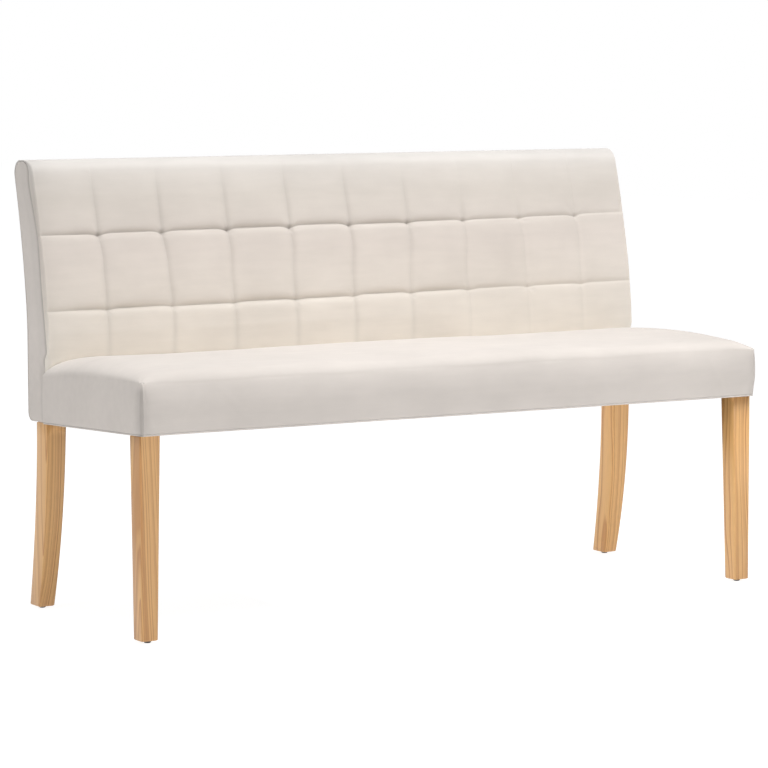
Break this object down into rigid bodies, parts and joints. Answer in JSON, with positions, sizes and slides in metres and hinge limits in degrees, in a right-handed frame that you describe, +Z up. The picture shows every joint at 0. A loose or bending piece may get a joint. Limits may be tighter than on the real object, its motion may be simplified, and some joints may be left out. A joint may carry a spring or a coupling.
{
  "type": "upholstered dining bench",
  "caption": "Cream upholstered dining bench with a square-tufted leaning back, a crowned box seat, tapered front legs and sabre rear legs in pine.",
  "frame": {"origin": "on the floor under the middle of the bench", "axes": "+X along the bench to the sitter's left, +Y towards the back, +Z up"},
  "size_m": [1.4, 0.5537, 0.878],
  "materials": {
    "cream_velvet": "short soft pile, cream",
    "oiled_pine": "clear lacquered pine with visible grain",
    "frame_pine": "sawn pine, unfinished",
    "plywood": "sanded plywood",
    "hardboard": "smooth brown hardboard",
    "foam": "open-cell foam",
    "wadding": "polyester wadding",
    "black_felt": "thin nonwoven felt",
    "grey_nylon": "matt dark grey",
    "zinc_steel": "bright zinc plated"
  },
  "bodies": {
    "root": {"front_leg_left": "oiled_pine", "front_leg_right": "oiled_pine", "rear_leg_left": "oiled_pine", "rear_leg_right": "oiled_pine", "glide_front_left": "grey_nylon", "glide_front_right": "grey_nylon", "glide_rear_left": "grey_nylon", "glide_rear_right": "grey_nylon", "seat_front_rail": "frame_pine", "seat_rear_rail": "frame_pine", "seat_side_rail_left": "frame_pine", "seat_side_rail_right": "frame_pine", "seat_cross_rail_left": "frame_pine", "seat_cross_rail_middle": "frame_pine", "seat_cross_rail_right": "frame_pine", "corner_block_front_left": "frame_pine", "corner_block_front_right": "frame_pine", "corner_block_rear_left": "frame_pine", "corner_block_rear_right": "frame_pine", "seat_board": "plywood", "seat_edge_wadding": "wadding", "seat_foam": "foam", "seat_cover": "cream_velvet", "dust_cover": "black_felt", "back_stile_left": "plywood", "back_stile_right": "plywood", "back_upright_left": "frame_pine", "back_upright_middle": "frame_pine", "back_upright_right": "frame_pine", "back_top_rail": "frame_pine", "back_bottom_rail": "frame_pine", "back_bottom_board": "plywood", "back_front_board": "hardboard", "back_rear_board": "hardboard", "back_foam": "foam", "back_quilted_cover": "cream_velvet", "back_side_strip_left": "cream_velvet", "back_side_strip_right": "cream_velvet", "back_rear_cover": "cream_velvet", "front_leg_bolts": "zinc_steel", "front_leg_washers": "zinc_steel", "front_leg_nuts": "zinc_steel", "rear_leg_bolts": "zinc_steel", "rear_leg_washers": "zinc_steel", "rear_leg_tee_nuts": "zinc_steel", "back_bolts": "zinc_steel", "back_washers": "zinc_steel", "back_tee_nuts": "zinc_steel"}
  },
  "joints": []
}
